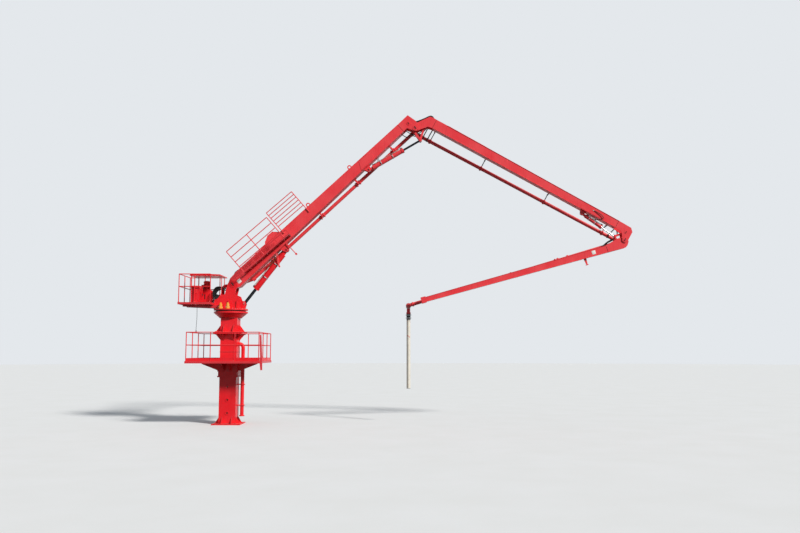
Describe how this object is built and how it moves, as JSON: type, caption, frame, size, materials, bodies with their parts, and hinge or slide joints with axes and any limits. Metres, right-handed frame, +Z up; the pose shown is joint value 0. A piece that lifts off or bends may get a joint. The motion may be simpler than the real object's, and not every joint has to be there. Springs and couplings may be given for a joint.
{
  "type": "stationary concrete placing boom",
  "caption": "Column-mounted concrete placing boom: square column with two guarded platforms, slewing turret, roll-folding arms moved by cylinders and links, side pipeline and end hose.",
  "frame": {"origin": "centre of the column's foot, on the underside of its bolted foot flange", "axes": "+Z up the column, +X the way the boom points at rest, +Y towards the side that carries the concrete pipes of the arms"},
  "size_m": [17.6569, 2.8, 12.1821],
  "materials": {
    "red_paint": "satin",
    "steel_rod": "polished",
    "amber_paint": "satin",
    "hose_rubber": "matt"
  },
  "bodies": {
    "column": {"foot_plate": "red_paint", "column_shaft": "red_paint", "column_head": "red_paint", "climbing_collar": "red_paint", "service_platform": "red_paint", "service_railing": "red_paint", "riser_pipe": "red_paint"},
    "turret": {"slew_deck": "red_paint", "slew_motors": "amber_paint", "turret_frame": "red_paint", "turret_pipe": "red_paint", "rear_platform": "red_paint", "rear_railing": "red_paint", "rear_canopy": "red_paint", "control_cabinet": "red_paint", "power_pack": "red_paint"},
    "cabinet_door": {"cabinet_door": "red_paint"},
    "boom_1": {"boom_1_beam": "red_paint", "boom_1_pipe": "red_paint", "boom_1_walkway": "red_paint", "boom_1_railing": "red_paint"},
    "lift_barrel": {"lift_barrel": "red_paint"},
    "lift_rod": {"lift_rod": "steel_rod"},
    "fold_2_barrel": {"fold_2_barrel": "red_paint"},
    "fold_2_rod": {"fold_2_rod": "steel_rod"},
    "rocker_2": {"rocker_2": "red_paint"},
    "coupler_2": {"coupler_2": "red_paint"},
    "boom_2": {"boom_2_beam": "red_paint", "boom_2_pipe": "red_paint"},
    "fold_3_barrel": {"fold_3_barrel": "red_paint"},
    "fold_3_rod": {"fold_3_rod": "steel_rod"},
    "rocker_3": {"rocker_3": "red_paint"},
    "coupler_3": {"coupler_3": "red_paint"},
    "boom_3": {"boom_3_beam": "red_paint", "boom_3_pipe": "red_paint"},
    "tip_hose": {"end_elbow": "red_paint", "end_hose": "hose_rubber"}
  },
  "joints": [
    {"name": "slew", "type": "hinge", "parent": "column", "child": "turret", "pos_m": [0, 0, 4.38], "axis": [0, 0, 1], "range_deg": [-180, 180]},
    {"name": "door_swing", "type": "hinge", "parent": "turret", "child": "cabinet_door", "pos_m": [-1.0997, -0.761, 4.66], "axis": [0, 0, -1], "range_deg": [0, 90]},
    {"name": "boom_1_lift", "type": "hinge", "parent": "turret", "child": "boom_1", "pos_m": [0.1, 0, 5.4], "axis": [0, -1, 0], "range_deg": [-41.3, 43.7]},
    {"name": "boom_2_fold", "type": "hinge", "parent": "boom_1", "child": "boom_2", "pos_m": [7.23701, 0, 11.67002], "axis": [0, 1, 0], "range_deg": [-69.9, 36.1]},
    {"name": "boom_3_fold", "type": "hinge", "parent": "boom_2", "child": "boom_3", "pos_m": [15.49005, 0, 7.17031], "axis": [0, -1, 0], "range_deg": [-44.1, 135.9]},
    {"name": "hose_swing", "type": "hinge", "parent": "boom_3", "child": "tip_hose", "pos_m": [6.96719, 0, 4.59917], "axis": [0, 1, 0], "range_deg": [-20, 145]},
    {"name": "lift_barrel_tilt", "type": "hinge", "parent": "boom_1", "child": "lift_barrel", "pos_m": [2.1518, 0, 6.7766], "axis": [0, -1, 0], "range_deg": [-5.43, 5.19]},
    {"name": "lift_rod_slide", "type": "slide", "parent": "lift_barrel", "child": "lift_rod", "axis": [-0.6082, 0, -0.7938], "range_m": [-0.53538, 0.5662]},
    {"name": "fold_2_barrel_tilt", "type": "hinge", "parent": "boom_1", "child": "fold_2_barrel", "pos_m": [5.38525, 0, 9.98996], "axis": [0, -1, 0], "range_deg": [-2.75, 4.4]},
    {"name": "fold_2_rod_slide", "type": "slide", "parent": "fold_2_barrel", "child": "fold_2_rod", "axis": [0.8614, 0, 0.5079], "range_m": [-0.28285, 0.54299]},
    {"name": "rocker_2_turn", "type": "hinge", "parent": "boom_1", "child": "rocker_2", "pos_m": [6.97231, 0, 11.85011], "axis": [0, -1, 0], "range_deg": [-22.75, 43.11]},
    {"name": "coupler_2_turn", "type": "hinge", "parent": "boom_2", "child": "coupler_2", "pos_m": [7.60252, 0, 11.75548], "axis": [0, -1, 0], "range_deg": [-6.85, 4.02]},
    {"name": "fold_3_barrel_tilt", "type": "hinge", "parent": "boom_2", "child": "fold_3_barrel", "pos_m": [13.84739, 0, 8.23107], "axis": [0, -1, 0], "range_deg": [-7.78, 3.2]},
    {"name": "fold_3_rod_slide", "type": "slide", "parent": "fold_3_barrel", "child": "fold_3_rod", "axis": [0.8102, 0, -0.5862], "range_m": [-0.13463, 0.40447]},
    {"name": "rocker_3_turn", "type": "hinge", "parent": "boom_2", "child": "rocker_3", "pos_m": [15.53628, 0, 7.46402], "axis": [0, -1, 0], "range_deg": [-20.09, 59.82]},
    {"name": "coupler_3_turn", "type": "hinge", "parent": "boom_3", "child": "coupler_3", "pos_m": [15.3315, 0, 6.91879], "axis": [0, -1, 0], "range_deg": [-60.31, 20.25]}
  ],
  "couplings": [
    {"joint": "lift_barrel_tilt", "follows": "boom_1_lift", "ratio": -0.10138},
    {"joint": "lift_rod_slide", "follows": "boom_1_lift", "m_per_rad": 0.7358},
    {"joint": "fold_2_barrel_tilt", "follows": "boom_2_fold", "ratio": -0.048614},
    {"joint": "fold_2_rod_slide", "follows": "boom_2_fold", "m_per_rad": -0.44098},
    {"joint": "rocker_2_turn", "follows": "boom_2_fold", "ratio": -0.60238},
    {"joint": "coupler_2_turn", "follows": "boom_2_fold", "ratio": 0.083724},
    {"joint": "fold_3_barrel_tilt", "follows": "boom_3_fold", "ratio": -0.04985},
    {"joint": "fold_3_rod_slide", "follows": "boom_3_fold", "m_per_rad": 0.16842},
    {"joint": "rocker_3_turn", "follows": "boom_3_fold", "ratio": 0.43283},
    {"joint": "coupler_3_turn", "follows": "boom_3_fold", "ratio": -0.43643}
  ]
}
